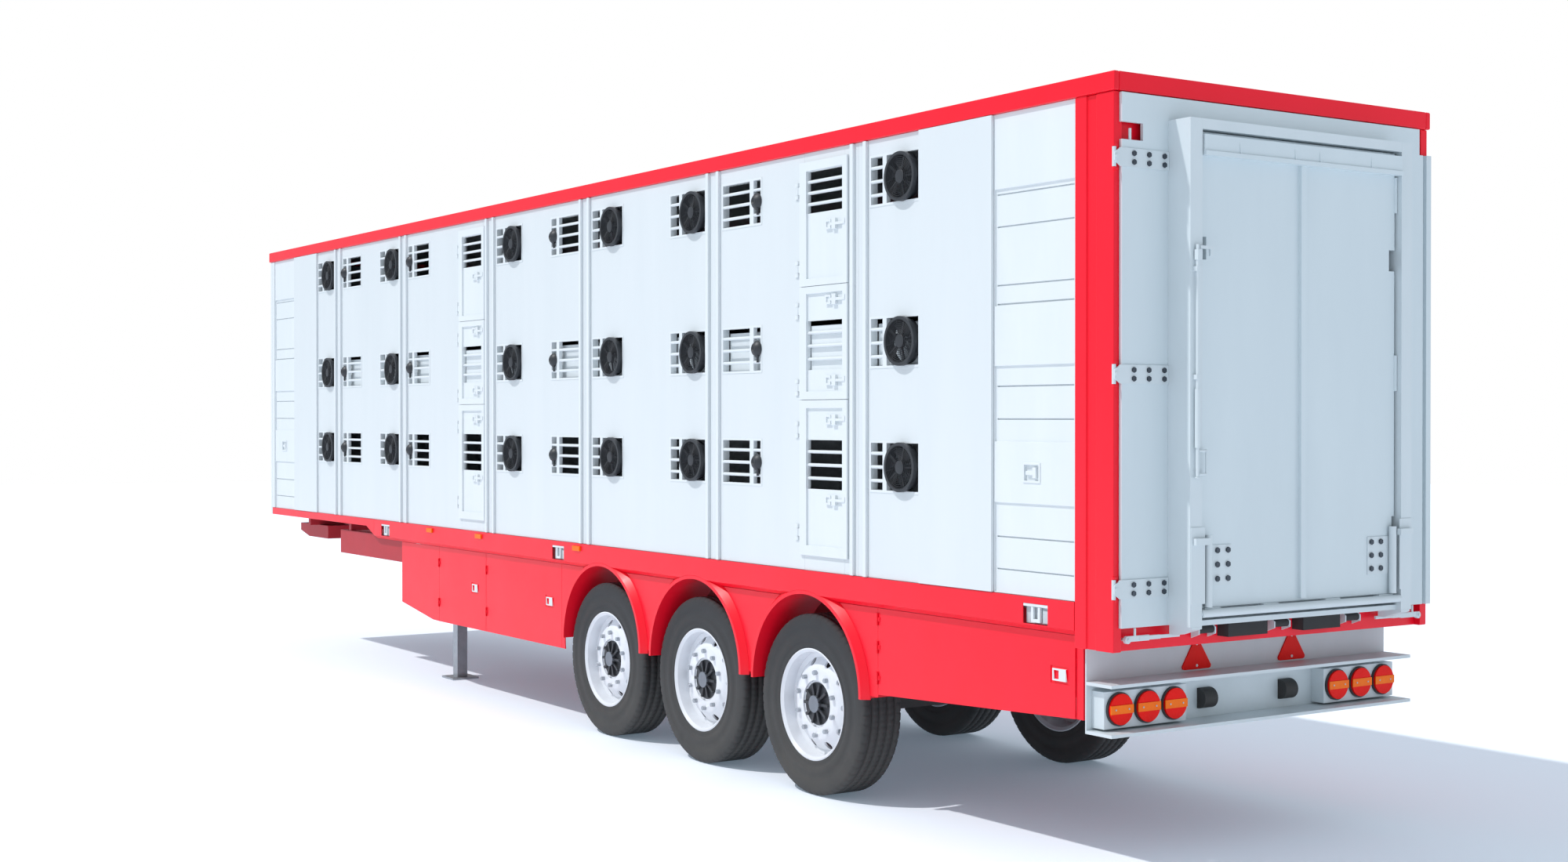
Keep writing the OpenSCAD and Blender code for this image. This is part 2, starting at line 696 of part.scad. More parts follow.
// A lever latch lying along the rear beam with its upright pin.
module lever() {
  difference() {
    union() {
      rblk(4, 16, -1186, -1020, 1278, 1308);
      rblk(2, 18, -1090, -940, 1282, 1304);
      rblk(4, 16, -960, -795, 1284, 1302);
      translate([x_rear - 2, -1174, 1288]) rotate([0, 90, 0]) cylinder(h = 20, r = 20);
    }
    translate([x_rear - 4, -1174, 1288]) rotate([0, 90, 0]) cylinder(h = 24, r = 8.06);
  }
  translate([x_rear + 12, -1122, 1300]) cylinder(h = 48, r = 7);
}

module latch_left() {
  color("lightgray") lever();
}

module latch_right() {
  color("lightgray") left() lever();
}

// Underrun bumper channel with the back plate, light boxes and roller brackets.
module bumper() {
  color("lightsteelblue") {
    blk(265, 273, -1210, 1210, 759, 1222);
    blk(69, 264.5, -1210, 1210, 1022, 1040);
    blk(69, 264.5, -1210, 1210, 759, 777);
    both() blk(169, 264.5, 561, 1170, 790, 990);
    both() translate([x_rear - 39.5, -1174, 1288]) rotate([0, 90, 0]) cylinder(h = 66, r = 8);
    for (y = [-590, 0, 590]) for (d = [-66, 58]) prism_y(y + d, y + d + 8,
      [[x_rear - 39.5, 1340], [x_rear - 10, 1340], [x_rear + 20, 1320],
      [x_rear + 20, 1285], [x_rear - 39.5, 1262]]);
    both() blk(274, 340, 460, 540, 1040, 1300);
  }
}

// Round lamps: dark bezel, lens and a raised centre bar.
module tail_lamps() {
  color("red") both() for (y = lamp_y) translate([x_rear - 168.5, y, 894]) rotate([0, 90, 0]) {
    cylinder(h = 14, r = 92);
    translate([0, 0, 14.2]) cylinder(h = 12, r = 84);
    translate([-23, -83, 26.4]) cube([46, 166, 5]);
    for (d = [-48, 48]) translate([0, d, 31.6]) cylinder(h = 2, r = 5);
  }
}

// Rounded triangle reflectors on the back plate and side marker lamps on the valances.
module reflectors() {
  color("orange") {
    both() translate([x_rear - 264.5, 387, 1050]) rotate([90, 0, 90]) linear_extrude(8)
      polygon([[-112, 18], [-108, 4], [-96, 0], [96, 0], [108, 4], [112, 18], [16, 165],
        [0, 174], [-16, 165]]);
    both() for (z = [1070, 1192]) translate([x_rear - 256.3, 387, z]) rotate([0, 90, 0])
      cylinder(h = 2, r = 8);
    both() for (s = [6006, 7846, 8908]) blk(s, s + 120, half_w + 0.3, half_w + 14, 1410, 1448);
  }
}

// Dock buffers on the rear beam, round-nosed buffers on the bumper and the dock rollers.
module rubber_buffers() {
  color("black") {
    both() rblk(-39.5, 43, 145, 453, 1262, 1345);
    both() {
      rblk(-264.5, -252, 278, 378, 828, 942);
      translate([x_rear - 255, 278, 885]) intersection() {
        rotate([-90, 0, 0]) cylinder(h = 100, r = 57);
        translate([0, 0, -60]) cube([60, 100, 120]);
      }
    }
    for (y = [-590, 0, 590]) bar_y(x_rear - 5, y - 57.5, y + 57.5, 1308, 22);
  }
}

// Lashing hooks: a back pocket, a top bar and a U-shaped hook.
module lashing_hooks() {
  color("white") both() for (s = [515, 6296, 9948]) {
    blk(s + 1, s + 204, 1236, 1240, 1321, 1431);
    blk(s + 1, s + 204, 1240.4, 1263, 1416, 1431);
    difference() {
      blk(s + 66, s + 140, 1246, 1262, 1330, 1414);
      blk(s + 84, s + 122, 1240, 1270, 1348, 1415);
    }
    blk(s + 8, s + 56, 1240.4, 1250, 1328, 1400);
  }
}

chassis_frame();
coupler_plate();
leg_housings();
left() leg();  // leg_left
leg();  // leg_right
floor_plate();  // floor
deck(2514);  // deck_middle
deck(3246);  // deck_upper
wall_left();
wall_right();
wall_ribs();
front_wall();
roof_panel();
top_rim();
rear_frame();
valances();
skirts();
fenders();
slat_panels();
window_grilles();
vent_fans();
drinkers();
side_door(0, 0);  // side_door_rear_low
side_door(0, 1);  // side_door_rear_mid
side_door(0, 2);  // side_door_rear_top
side_door(1, 0);  // side_door_front_low
side_door(1, 1);  // side_door_front_mid
side_door(1, 2);  // side_door_front_top
hinge_pins();
locker_door_front();
locker_door_middle();
locker_door_rear();
axle_beams();
suspension_arms();
air_springs();
left() tyre(0);  // tyre_left_1
left() tyre(1);  // tyre_left_2
left() tyre(2);  // tyre_left_3
tyre(0);  // tyre_right_1
tyre(1);  // tyre_right_2
tyre(2);  // tyre_right_3
left() wheel(0);  // wheel_left_1
left() wheel(1);  // wheel_left_2
left() wheel(2);  // wheel_left_3
wheel(0);  // wheel_right_1
wheel(1);  // wheel_right_2
wheel(2);  // wheel_right_3
rear_door();
door_box();
strap_hinges();
ramp();
ramp_hinges();
lock_bar();
latch_left();
latch_right();
bumper();
tail_lamps();
reflectors();
rubber_buffers();
lashing_hooks();
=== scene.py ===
import json
import math

import bpy
import numpy as np
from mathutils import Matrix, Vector


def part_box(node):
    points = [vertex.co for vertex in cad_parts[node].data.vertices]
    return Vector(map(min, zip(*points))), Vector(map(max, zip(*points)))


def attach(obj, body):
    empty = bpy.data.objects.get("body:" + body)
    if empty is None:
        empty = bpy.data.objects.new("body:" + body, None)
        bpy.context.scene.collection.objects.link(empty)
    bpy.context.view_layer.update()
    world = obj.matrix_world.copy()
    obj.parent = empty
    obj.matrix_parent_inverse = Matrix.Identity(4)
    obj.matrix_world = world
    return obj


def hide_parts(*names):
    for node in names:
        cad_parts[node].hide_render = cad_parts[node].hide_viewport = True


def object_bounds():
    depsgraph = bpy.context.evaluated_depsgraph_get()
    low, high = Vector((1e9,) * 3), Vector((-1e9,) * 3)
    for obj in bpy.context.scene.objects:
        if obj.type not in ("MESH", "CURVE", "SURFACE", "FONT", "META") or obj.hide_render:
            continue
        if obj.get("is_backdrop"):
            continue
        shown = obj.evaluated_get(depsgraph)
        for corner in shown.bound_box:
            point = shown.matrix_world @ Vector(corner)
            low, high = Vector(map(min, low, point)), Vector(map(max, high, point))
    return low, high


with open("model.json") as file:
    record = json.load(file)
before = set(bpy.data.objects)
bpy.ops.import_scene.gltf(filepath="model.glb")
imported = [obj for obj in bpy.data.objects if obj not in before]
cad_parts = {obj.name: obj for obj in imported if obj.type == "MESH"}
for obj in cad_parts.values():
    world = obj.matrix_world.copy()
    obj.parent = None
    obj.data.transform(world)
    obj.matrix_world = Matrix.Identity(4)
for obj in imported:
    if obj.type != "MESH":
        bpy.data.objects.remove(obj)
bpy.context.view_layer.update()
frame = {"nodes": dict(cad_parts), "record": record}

# The frame is in metres: +X to the rear doors, -Y the trailer's left side, +Z up.
TAU = 2 * math.pi
SIDES = (("left", -1.0), ("right", 1.0))
AXLES = (1, 2, 3)
REAR_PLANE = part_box("rear_frame")[1].x
# Distance of the side walls' outer face from the middle plane.
WALL_FACE = 1.255
# Rear edges of the fan windows forward of the rear plane, a fan's centre forward of such an
# edge, and the heights of the fans' centres on the three decks.
FAN_STATIONS = (1.674, 4.128, 5.333, 7.069, 9.702, 11.407)
FAN_INSET = 0.162
DECK_HEIGHTS = (2.159, 2.922, 3.915)


# ---------------------------------------------------------------- materials

def linear(code):
    """sRGB hex code to linear red, green, blue, alpha."""
    parts = [int(code[i:i + 2], 16) / 255 for i in (1, 3, 5)]
    return [c / 12.92 if c <= 0.04045 else ((c + 0.055) / 1.055) ** 2.4 for c in parts] + [1.0]


def add(tree, kind, settings=None, links=None):
    """One node with its properties, its socket values and the sockets that feed it."""
    item = tree.nodes.new(kind)
    for key, value in (settings or {}).items():
        if isinstance(key, str) and hasattr(item, key):
            setattr(item, key, value)
        else:
            item.inputs[key].default_value = value
    for key, source in (links or {}).items():
        tree.links.new(source, item.inputs[key])
    return item


def finish(name, low, high, rough, metallic=0.0, patch=0.9, stretch=(1, 1, 1), grain=12.0,
           depth=0.15, dust="#8a8278", dust_top=1.5, dust_most=0.25, coat=0.0, spread=0.08,
           specular=0.5):
    """A coated or bare surface: two tones in soft patches, a fine grained bump, and road dust
    that is thickest low down. patch is the patch size in metres, stretch its scale along each
    axis, grain the bump size in mm and depth its strength, dust_top the height where the dust
    ends, dust_most its strength at the ground, and spread the play in roughness."""
    material = bpy.data.materials.new(name)
    material.use_nodes = True
    tree = material.node_tree
    tree.nodes.clear()
    place = add(tree, "ShaderNodeTexCoord").outputs["Object"]
    drawn = add(tree, "ShaderNodeMapping", {"Scale": stretch}, {"Vector": place}).outputs[0]
    patches = add(tree, "ShaderNodeTexNoise",
                  {"Scale": 1 / patch, "Detail": 5.0, "Roughness": 0.6}, {"Vector": drawn})
    tones = add(tree, "ShaderNodeMix", {"data_type": "RGBA", 6: linear(low), 7: linear(high)},
                {0: patches.outputs[0]})
    fine = add(tree, "ShaderNodeTexNoise",
               {"Scale": 1000 / grain, "Detail": 3.0, "Roughness": 0.55}, {"Vector": place})
    height = add(tree, "ShaderNodeSeparateXYZ", {}, {0: place}).outputs[2]
    low_down = add(tree, "ShaderNodeMapRange",
                   {"From Min": dust_top, "From Max": 0.1, "To Min": 0.0, "To Max": dust_most},
                   {"Value": height})
    blotch = add(tree, "ShaderNodeTexNoise",
                 {"Scale": 3.5, "Detail": 8.0, "Roughness": 0.7}, {"Vector": place})
    dusty = add(tree, "ShaderNodeMath", {"operation": "MULTIPLY"},
                {0: low_down.outputs[0], 1: blotch.outputs[0]})
    colour = add(tree, "ShaderNodeMix", {"data_type": "RGBA", 7: linear(dust)},
                 {0: dusty.outputs[0], 6: tones.outputs[2]})
    gloss = add(tree, "ShaderNodeMapRange",
                {"To Min": max(rough - spread, 0.05), "To Max": min(rough + spread, 1.0)},
                {"Value": blotch.outputs[0]})
    relief = add(tree, "ShaderNodeBump", {"Strength": depth, "Distance": grain / 4000},
                 {"Height": fine.outputs[0]})
    shader = add(tree, "ShaderNodeBsdfPrincipled",
                 {"Metallic": metallic, "Coat Weight": coat, "Coat Roughness": 0.12,
                  "Specular IOR Level": specular},
                 {"Base Color": colour.outputs[2], "Roughness": gloss.outputs[0],
                  "Normal": relief.outputs[0]})
    add(tree, "ShaderNodeOutputMaterial", {}, {"Surface": shader.outputs[0]})
    return material


def add_relief(material, pattern, settings, depth, metres):
    """Adds a second, larger bump on top of the fine one of a finish."""
    tree = material.node_tree
    shader = next(n for n in tree.nodes if n.type == "BSDF_PRINCIPLED")
    place = next(n for n in tree.nodes if n.type == "TEX_COORD").outputs["Object"]
    below = shader.inputs["Normal"].links[0].from_socket
    shape = add(tree, pattern, settings, {"Vector": place})
    bump = add(tree, "ShaderNodeBump", {"Strength": depth, "Distance": metres},
               {"Height": shape.outputs[0], "Normal": below})
    tree.links.new(bump.outputs[0], shader.inputs["Normal"])
    return material


# Smooth coated aluminium skin: bluish white, satin, with faint streaks down from the rim.
panel_white = finish("white coated aluminium skin", "#d6dcdf", "#dfe4e6", 0.36, patch=1.2,
                     stretch=(4, 4, 0.5), grain=30, depth=0.04, dust_top=1.9, dust_most=0.12,
                     coat=0.1)
# Powder coat on steel and profiles: a little whiter, with a fine orange peel.
powder_white = finish("white powder coat", "#dae0e3", "#e4e9eb", 0.42, patch=0.6,
                      stretch=(3, 3, 0.6), grain=9, depth=0.10, dust_top=1.8, dust_most=0.15)
# Gloss two-pack red on folded steel sheet, dulled low down by road film.
gloss_red = finish("gloss red two-pack paint", "#f30a24", "#fb1230", 0.36, patch=0.8,
                   stretch=(2, 2, 0.8), grain=14, depth=0.03, dust="#a8544c", dust_top=1.1,
                   dust_most=0.12, coat=0.08, specular=0.3)
# The same red on the chassis, darker in tone, rougher, and dustier low down.
chassis_red = finish("red chassis paint", "#a81022", "#c8182c", 0.5, patch=0.4, grain=10,
                     depth=0.2, dust="#6d5950", dust_top=1.6, dust_most=0.5)
# Light grey satin coat of the rear door's large sheets, with long faint streaks.
door_grey = finish("light grey satin coat", "#cdd8dd", "#d8e2e6", 0.38, patch=0.7,
                   stretch=(2, 2, 0.5), grain=12, depth=0.08, dust_top=2.4, dust_most=0.2)
# Powder coat of the same grey on the rear hinges, bars and rails, with a fine orange peel.
frame_grey = finish("light grey powder coat", "#ccd6da", "#dae2e6", 0.42, patch=0.5,
                    stretch=(2, 2, 0.6), grain=8, depth=0.12, dust_top=2.0, dust_most=0.25)
# Hot-dip galvanised steel: cool grey with crystal spangle about 15 mm across.
galvanised = add_relief(finish("galvanised steel", "#a2a8af", "#c3c8ce", 0.42, 0.85, patch=0.05,
                               grain=6, depth=0.15, dust_top=1.4, dust_most=0.3),
                        "ShaderNodeTexVoronoi", {"Scale": 66.0}, 0.12, 0.0008)
# Dark plated steel of the bolt heads, nearly smooth.
bolt_steel = finish("dark plated bolt steel", "#3f444b", "#5b6169", 0.4, 0.8, patch=0.03,
                    grain=3, depth=0.2)
# Extruded floor aluminium with anti-slip ribs 40 mm apart.
floor_metal = add_relief(finish("ribbed floor aluminium", "#9da1a6", "#b9bdc2", 0.5, 0.7,
                                patch=0.5, grain=8, depth=0.2, dust="#6a5a44", dust_top=4.3,
                                dust_most=0.3),
                         "ShaderNodeTexWave", {"Scale": 8.0, "bands_direction": "X"}, 0.4, 0.004)
# Satin black steel of the running gear under a film of dust.
axle_black = finish("satin black chassis steel", "#1b1c1f", "#2a2b2f", 0.5, patch=0.3, grain=8,
                    depth=0.3, dust="#6b645b", dust_top=1.3, dust_most=0.5)
# Moulded black polypropylene with a fine grain.
dark_plastic = finish("moulded dark grey plastic", "#26282c", "#34373c", 0.48, patch=0.2,
                      grain=3, depth=0.2, dust_top=1.3, dust_most=0.1)
# Natural rubber of buffers and air springs.
rubber = finish("moulded black rubber", "#1d1d1f", "#2b2b2d", 0.72, patch=0.15, grain=5,
                depth=0.35, dust_top=1.5, dust_most=0.35)
# Tyre compound: dark grey and dull, dusty low down.
tyre_rubber = finish("tyre rubber", "#26282b", "#343639", 0.78, patch=0.22, grain=6, depth=0.4,
                     dust="#7d776d", dust_top=1.3, dust_most=0.35)
# Gloss white wheel paint with brake dust, thickest low down.
rim_white = finish("white wheel paint", "#dfe3ea", "#f1f3f7", 0.3, patch=0.12, grain=10,
                   depth=0.06, dust="#8b8478", dust_top=1.2, dust_most=0.3, coat=0.4)
# Cast iron hub under dark paint, with a coarse casting skin.
hub_dark = finish("dark hub casting", "#2b2e33", "#43474e", 0.5, 0.4, patch=0.05, grain=4,
                  depth=0.4, dust_top=1.0, dust_most=0.3)
# Pressed grey hub cap, half bare metal.
hub_cap = finish("grey hub cap", "#70767f", "#858b94", 0.35, 0.6, patch=0.05, grain=5, depth=0.1)
# Acrylic lenses: coloured through, soft in gloss, with moulded prisms about 9 mm apart.
lens_red = add_relief(finish("red acrylic lens", "#e60600", "#f81204", 0.4, patch=0.06,
                             grain=10, depth=0.02, dust_most=0.0, specular=0.15),
                      "ShaderNodeTexVoronoi", {"Scale": 110.0}, 0.35, 0.002)
lens_orange = add_relief(finish("amber acrylic lens", "#f65f00", "#ff8410", 0.4, patch=0.06,
                                grain=10, depth=0.02, dust_most=0.0, specular=0.2),
                         "ShaderNodeTexVoronoi", {"Scale": 120.0}, 0.3, 0.002)
# Light grey paint on the lashing hooks' pressed pans, worn in small patches.
hook_grey = finish("worn grey hook paint", "#b7bfc4", "#d3dadd", 0.45, 0.0, patch=0.03,
                   grain=5, depth=0.25, dust_top=1.6, dust_most=0.3)

# The finish of each material slot in the record.
SLOT_FINISH = {
    "chassis_red": chassis_red, "red_paint": gloss_red, "dark_steel": axle_black,
    "zinc": galvanised, "aluminium": floor_metal, "white_panel": panel_white,
    "white_trim": powder_white, "white_frame": powder_white, "white_leaf": powder_white,
    "dark_plastic": dark_plastic, "black_rubber": rubber, "tyre": tyre_rubber,
    "white_rim": rim_white, "grey_panel": door_grey, "grey_frame": frame_grey,
    "red_lens": lens_red, "orange_lens": lens_orange, "grey_hook": hook_grey,
}


# ---------------------------------------------------------------- CAD nodes

def smooth_group():
    """Geometry nodes that shade faces smooth and keep edges over 32 degrees sharp."""
    group = bpy.data.node_groups.new("smooth_by_angle", "GeometryNodeTree")
    group.interface.new_socket("Geometry", in_out="INPUT", socket_type="NodeSocketGeometry")
    group.interface.new_socket("Geometry", in_out="OUTPUT", socket_type="NodeSocketGeometry")
    source = add(group, "NodeGroupInput").outputs[0]
    faces = add(group, "GeometryNodeSetShadeSmooth", {"domain": "FACE"}, {0: source})
    angle = add(group, "GeometryNodeInputMeshEdgeAngle").outputs[0]
    sharp = add(group, "FunctionNodeCompare",
                {"operation": "GREATER_THAN", 1: math.radians(32)}, {0: angle})
    edges = add(group, "GeometryNodeSetShadeSmooth", {"domain": "EDGE", 2: False},
                {0: faces.outputs[0], 1: sharp.outputs[0]})
    add(group, "NodeGroupOutput", {}, {0: edges.outputs[0]})
    return group


SMOOTH = smooth_group()
# Gap closed between points that belong together.
WELD_GAP = 0.00002
# Edge rounding in metres on large pieces, and on every node whose name holds one of the words.
BEVEL_WIDTH = {"wall_left": 0.002, "wall_right": 0.002, "rear_door": 0.004, "door_box": 0.004,
               "ramp": 0.003, "top_rim": 0.008, "rear_frame": 0.006, "bumper": 0.003,
               "rubber_buffers": 0.006, "front_wall": 0.006}
FINE_BEVEL = 0.0015
FINE_NODES = {"side_door", "lock_bar", "strap_hinges", "latch", "skirts", "fenders",
              "valances", "locker", "leg", "lashing", "slat", "wall_ribs", "ramp_hinges"}


def paint_where(node, material, test):
    """The faces of a CAD node whose centres pass the test get a second material."""
    mesh = frame["nodes"][node].data
    mesh.materials.append(material)
    index = len(mesh.materials) - 1
    centres = np.empty(len(mesh.polygons) * 3)
    mesh.polygons.foreach_get("center", centres)
    chosen = np.empty(len(mesh.polygons), dtype=np.int32)
    mesh.polygons.foreach_get("material_index", chosen)
    chosen[test(centres.reshape(-1, 3).T)] = index
    mesh.polygons.foreach_set("material_index", chosen)


def dress(name, slot):
    """A CAD node's finish, and the modifiers that weld it, round its edges and shade it. The
    weighted normals keep large flat faces evenly lit beside their rounded edges."""
    piece = frame["nodes"][name]
    piece.data.materials.clear()
    piece.data.materials.append(SLOT_FINISH[slot])
    weld = piece.modifiers.new("weld", "WELD")
    weld.merge_threshold = WELD_GAP
    fine = FINE_BEVEL if any(word in name for word in FINE_NODES) else 0
    width = BEVEL_WIDTH.get(name, fine)
    if width:
        bevel = piece.modifiers.new("bevel", "BEVEL")
        bevel.width = width
        bevel.segments = 2
        bevel.limit_method = "ANGLE"
        bevel.angle_limit = math.radians(40)
    shade = piece.modifiers.new("shade", "NODES")
    shade.node_group = SMOOTH
    if width:
        weigh = piece.modifiers.new("weigh", "WEIGHTED_NORMAL")
        weigh.weight = 100
        weigh.keep_sharp = True


for part in frame["record"]["subparts"]:
    dress(part["node"], part["material_slot"])

# Zones of a wheel by distance from the axle and by depth behind the wheel's outer face: the
# dark hub, its grey cap, and the ring of studs on the white disc.
HUB_RADIUS, HUB_DEPTH = 0.148, 0.028
CAP_RADIUS, CAP_DEPTH = 0.057, 0.030
STUD_INNER, STUD_OUTER, STUD_DEPTH = 0.185, 0.223, 0.0437


def paint_wheel(node):
    """The hub, cap and studs of a wheel, parted from its white disc."""
    low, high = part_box(node)
    axle = (low + high) / 2
    outer = max(abs(low.y), abs(high.y))

    def spread_of(p):
        return np.hypot(p[0] - axle.x, p[2] - axle.z)

    def inset_of(p):
        return outer - np.abs(p[1])

    paint_where(node, hub_dark, lambda p: (spread_of(p) < HUB_RADIUS) & (inset_of(p) > HUB_DEPTH))
    paint_where(node, hub_cap, lambda p: (spread_of(p) < CAP_RADIUS) & (inset_of(p) < CAP_DEPTH))
    paint_where(node, galvanised, lambda p: (spread_of(p) > STUD_INNER)
                & (spread_of(p) < STUD_OUTER) & (inset_of(p) < STUD_DEPTH))


for side, _ in SIDES:
    for i in AXLES:
        paint_wheel(f"wheel_{side}_{i}")

# A lamp from the front: screws, then the amber bar, then the red lens, then its black base.
lamp_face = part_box("tail_lamps")[1].x
SCREW_DEPTH, BAR_DEPTH, LENS_DEPTH = 0.0021, 0.0072, 0.0192
paint_where("tail_lamps", dark_plastic, lambda p: p[0] < lamp_face - LENS_DEPTH)
paint_where("tail_lamps", lens_orange, lambda p: p[0] > lamp_face - BAR_DEPTH)
paint_where("tail_lamps", galvanised, lambda p: p[0] > lamp_face - SCREW_DEPTH)

# The rear triangles are red with white screws that stand out of their face.
TRIANGLE_REACH = 0.6
TRIANGLE_FACE = REAR_PLANE - 0.2562
paint_where("reflectors", lens_red, lambda p: np.abs(p[1]) < TRIANGLE_REACH)
paint_where("reflectors", powder_white, lambda p: (np.abs(p[1]) < TRIANGLE_REACH)
            & (p[0] > TRIANGLE_FACE))

# Bolt heads stand out of the hinge leaves; the left end of a strap holds its pin, no bolts.
STRAP_FACE = REAR_PLANE + 0.0305
STRAP_PIN_END = -1.2
RAMP_LEAF_FACE = REAR_PLANE + 0.1552
RAMP_LEAF_FOOT, RAMP_LEAF_REACH = 1.56, 0.7
paint_where("strap_hinges", bolt_steel, lambda p: (p[0] > STRAP_FACE) & (p[1] > STRAP_PIN_END))

# Hinge pins are red on the skirts and on the rear post, and white on the side walls.
SKIRT_TOP = 1.3
POST_START = REAR_PLANE - 0.02
paint_where("hinge_pins", gloss_red, lambda p: (p[2] < SKIRT_TOP) | (p[0] > POST_START))

# The rings of the lashing hooks stand in front of their grey pans.
HOOK_PAN_FACE = 1.2505
paint_where("lashing_hooks", powder_white, lambda p: np.abs(p[1]) > HOOK_PAN_FACE)

# The pull of a locker door is near its rear edge and stands out of the red skirt.
SKIRT_FACE = -1.2206
PULL_REACH = 0.3
PULL_HEIGHT, PULL_HALF = 1.0, 0.09
for place in ("front", "middle", "rear"):
    locker = f"locker_door_{place}"
    rear_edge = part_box(locker)[1].x
    paint_where(locker, powder_white, lambda p: (p[1] < SKIRT_FACE)
                & (p[0] > rear_edge - PULL_REACH) & (np.abs(p[2] - PULL_HEIGHT) < PULL_HALF))
paint_where("ramp_hinges", bolt_steel, lambda p: (p[0] > RAMP_LEAF_FACE)
            & (p[2] > RAMP_LEAF_FOOT) & (np.abs(p[1]) < RAMP_LEAF_REACH))


# ---------------------------------------------------------------- mesh helpers

def grid_faces(rows, columns, wrap_rows=False, wrap_columns=False):
    """Quads of a rows by columns grid of points, closed round where asked."""
    r = np.arange(rows if wrap_rows else rows - 1)
    c = np.arange(columns if wrap_columns else columns - 1)
    r, c = np.meshgrid(r, c, indexing="ij")
    r2, c2 = (r + 1) % rows, (c + 1) % columns
    quad = np.stack([r * columns + c, r2 * columns + c, r2 * columns + c2, r * columns + c2], -1)
    return quad.reshape(-1, 4)


def new_piece(name, points, quads, material, body):
    """A mesh object at the origin, riding on a body, with its finish and slot."""
    mesh = bpy.data.meshes.new(name)
    mesh.from_pydata(points.reshape(-1, 3), [], quads)
    mesh.polygons.foreach_set("use_smooth", [True] * len(mesh.polygons))
    mesh.materials.append(material)
    mesh.validate()
    piece = bpy.data.objects.new(name, mesh)
    bpy.context.scene.collection.objects.link(piece)
    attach(piece, body)
    return piece


def join_copies(points, quads, places):
    """The same small mesh at many places, as one set of points and quads."""
    points, places = points.reshape(-1, 3), np.asarray(places)
    many = points[None] + places[:, None]
    steps = np.arange(len(places))[:, None, None] * len(points)
    return many.reshape(-1, 3), (quads[None] + steps).reshape(-1, quads.shape[1])


def stack(parts):
    """Several point and quad sets put together as one."""
    points, quads, start = [], [], 0
    for p, q in parts:
        points.append(p.reshape(-1, 3))
        quads.append(q + start)
        start += len(points[-1])
    return np.concatenate(points), np.concatenate(quads)


def turned_ring(radius, wire, depth, sections=48, sides=6):
    """A torus about the Y axis: a circle of the wire radius carried round a larger circle."""
    a = np.linspace(0, TAU, sections, endpoint=False)[:, None]
    b = np.linspace(0, TAU, sides, endpoint=False)[None]
    reach = radius + wire * np.cos(b)
    points = np.stack([reach * np.cos(a), depth + wire * np.sin(b) + 0 * a,
                       reach * np.sin(a)], -1)
    return points, grid_faces(sections, sides, True, True)


# ---------------------------------------------------------------- tyres

# Radius where the tyre sits on the rim, and the tread's grooves: their places across it,
# half their width at the top and at the bottom, and their depth.
BEAD_RADIUS = 0.350
TREAD_GROOVES = (-0.090, -0.032, 0.032, 0.090)
GROOVE_TOP, GROOVE_FOOT, GROOVE_DEPTH = 0.0075, 0.0055, 0.013
# Inset of the tread's edge, steps round the tyre, and the steps from one cut to the next.
SHOULDER = 0.030
TYRE_STEPS = 360
NOTCH_EVERY, NOTCH_DEPTH = 6, 0.007
SIPE_EVERY, SIPE_DEPTH = 4, 0.004


def tyre_surface(axle, outer, width, radius, bead, sign):
    """A tyre turned about its axle. The profile runs bead, bulged sidewall with fine raised
    rings, rounded shoulder, flat tread, and back. Its radius drops in four grooves, at notches
    round each shoulder and at narrow sipes across the tread."""
    half = width / 2
    side = np.array([[bead, 0.024], [bead + 0.018, 0.011], [bead + 0.030, 0.006],
                     [bead + 0.036, 0.009], [bead + 0.060, 0.003], [bead + 0.064, 0.0012],
                     [bead + 0.100, 0.0004], [bead + 0.104, 0.0022], [bead + 0.150, 0.0022],
                     [bead + 0.154, 0.0004], [bead + 0.190, 0.0030], [radius - 0.030, 0.0055],
                     [radius - 0.012, 0.0100], [radius - 0.003, 0.0200]])
    across = [SHOULDER]
    for centre in TREAD_GROOVES:
        across += [half + centre - GROOVE_TOP, half + centre - GROOVE_FOOT,
                   half + centre + GROOVE_FOOT, half + centre + GROOVE_TOP]
    across = np.array(across + [width - SHOULDER])
    drops = np.array([0.0] + [0.0, GROOVE_DEPTH, GROOVE_DEPTH, 0.0] * len(TREAD_GROOVES) + [0.0])
    tread = np.stack([radius - drops, across], -1)
    back = side[::-1].copy()
    back[:, 1] = width - back[:, 1]
    profile = np.concatenate([side, tread, back])
    step = np.arange(TYRE_STEPS)[:, None]
    turn = np.linspace(0, TAU, TYRE_STEPS, endpoint=False)[:, None]
    reach = profile[None, :, 0] + 0 * turn
    inset = profile[None, :, 1] + 0 * turn
    edge = np.minimum(inset, width - inset)
    notch = step % NOTCH_EVERY == 0
    shoulder = (edge > 0.008) & (edge < 0.045) & (reach > radius - 0.02)
    reach = reach - np.where(notch & shoulder, NOTCH_DEPTH, 0.0)
    sipe = step % SIPE_EVERY == 0
    middle = (edge > 0.06) & (reach > radius - 0.002)
    reach = reach - np.where(sipe & middle, SIPE_DEPTH, 0.0)
    points = np.stack([axle.x + reach * np.cos(turn), sign * (outer - inset),
                       axle.z + reach * np.sin(turn)], -1)
    quads = grid_faces(TYRE_STEPS, len(profile), True, True)
    return points, quads if sign < 0 else quads[:, ::-1]


for side, sign in SIDES:
    for i in AXLES:
        node = f"tyre_{side}_{i}"
        low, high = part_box(node)
        axle = (low + high) / 2
        points, quads = tyre_surface(axle, max(abs(low.y), abs(high.y)), high.y - low.y,
                                     (high.z - low.z) / 2, BEAD_RADIUS, sign)
        piece = new_piece(f"treaded_{node}", points, quads, tyre_rubber, f"wheel_{side}_{i}")
        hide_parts(node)


# ---------------------------------------------------------------- fans

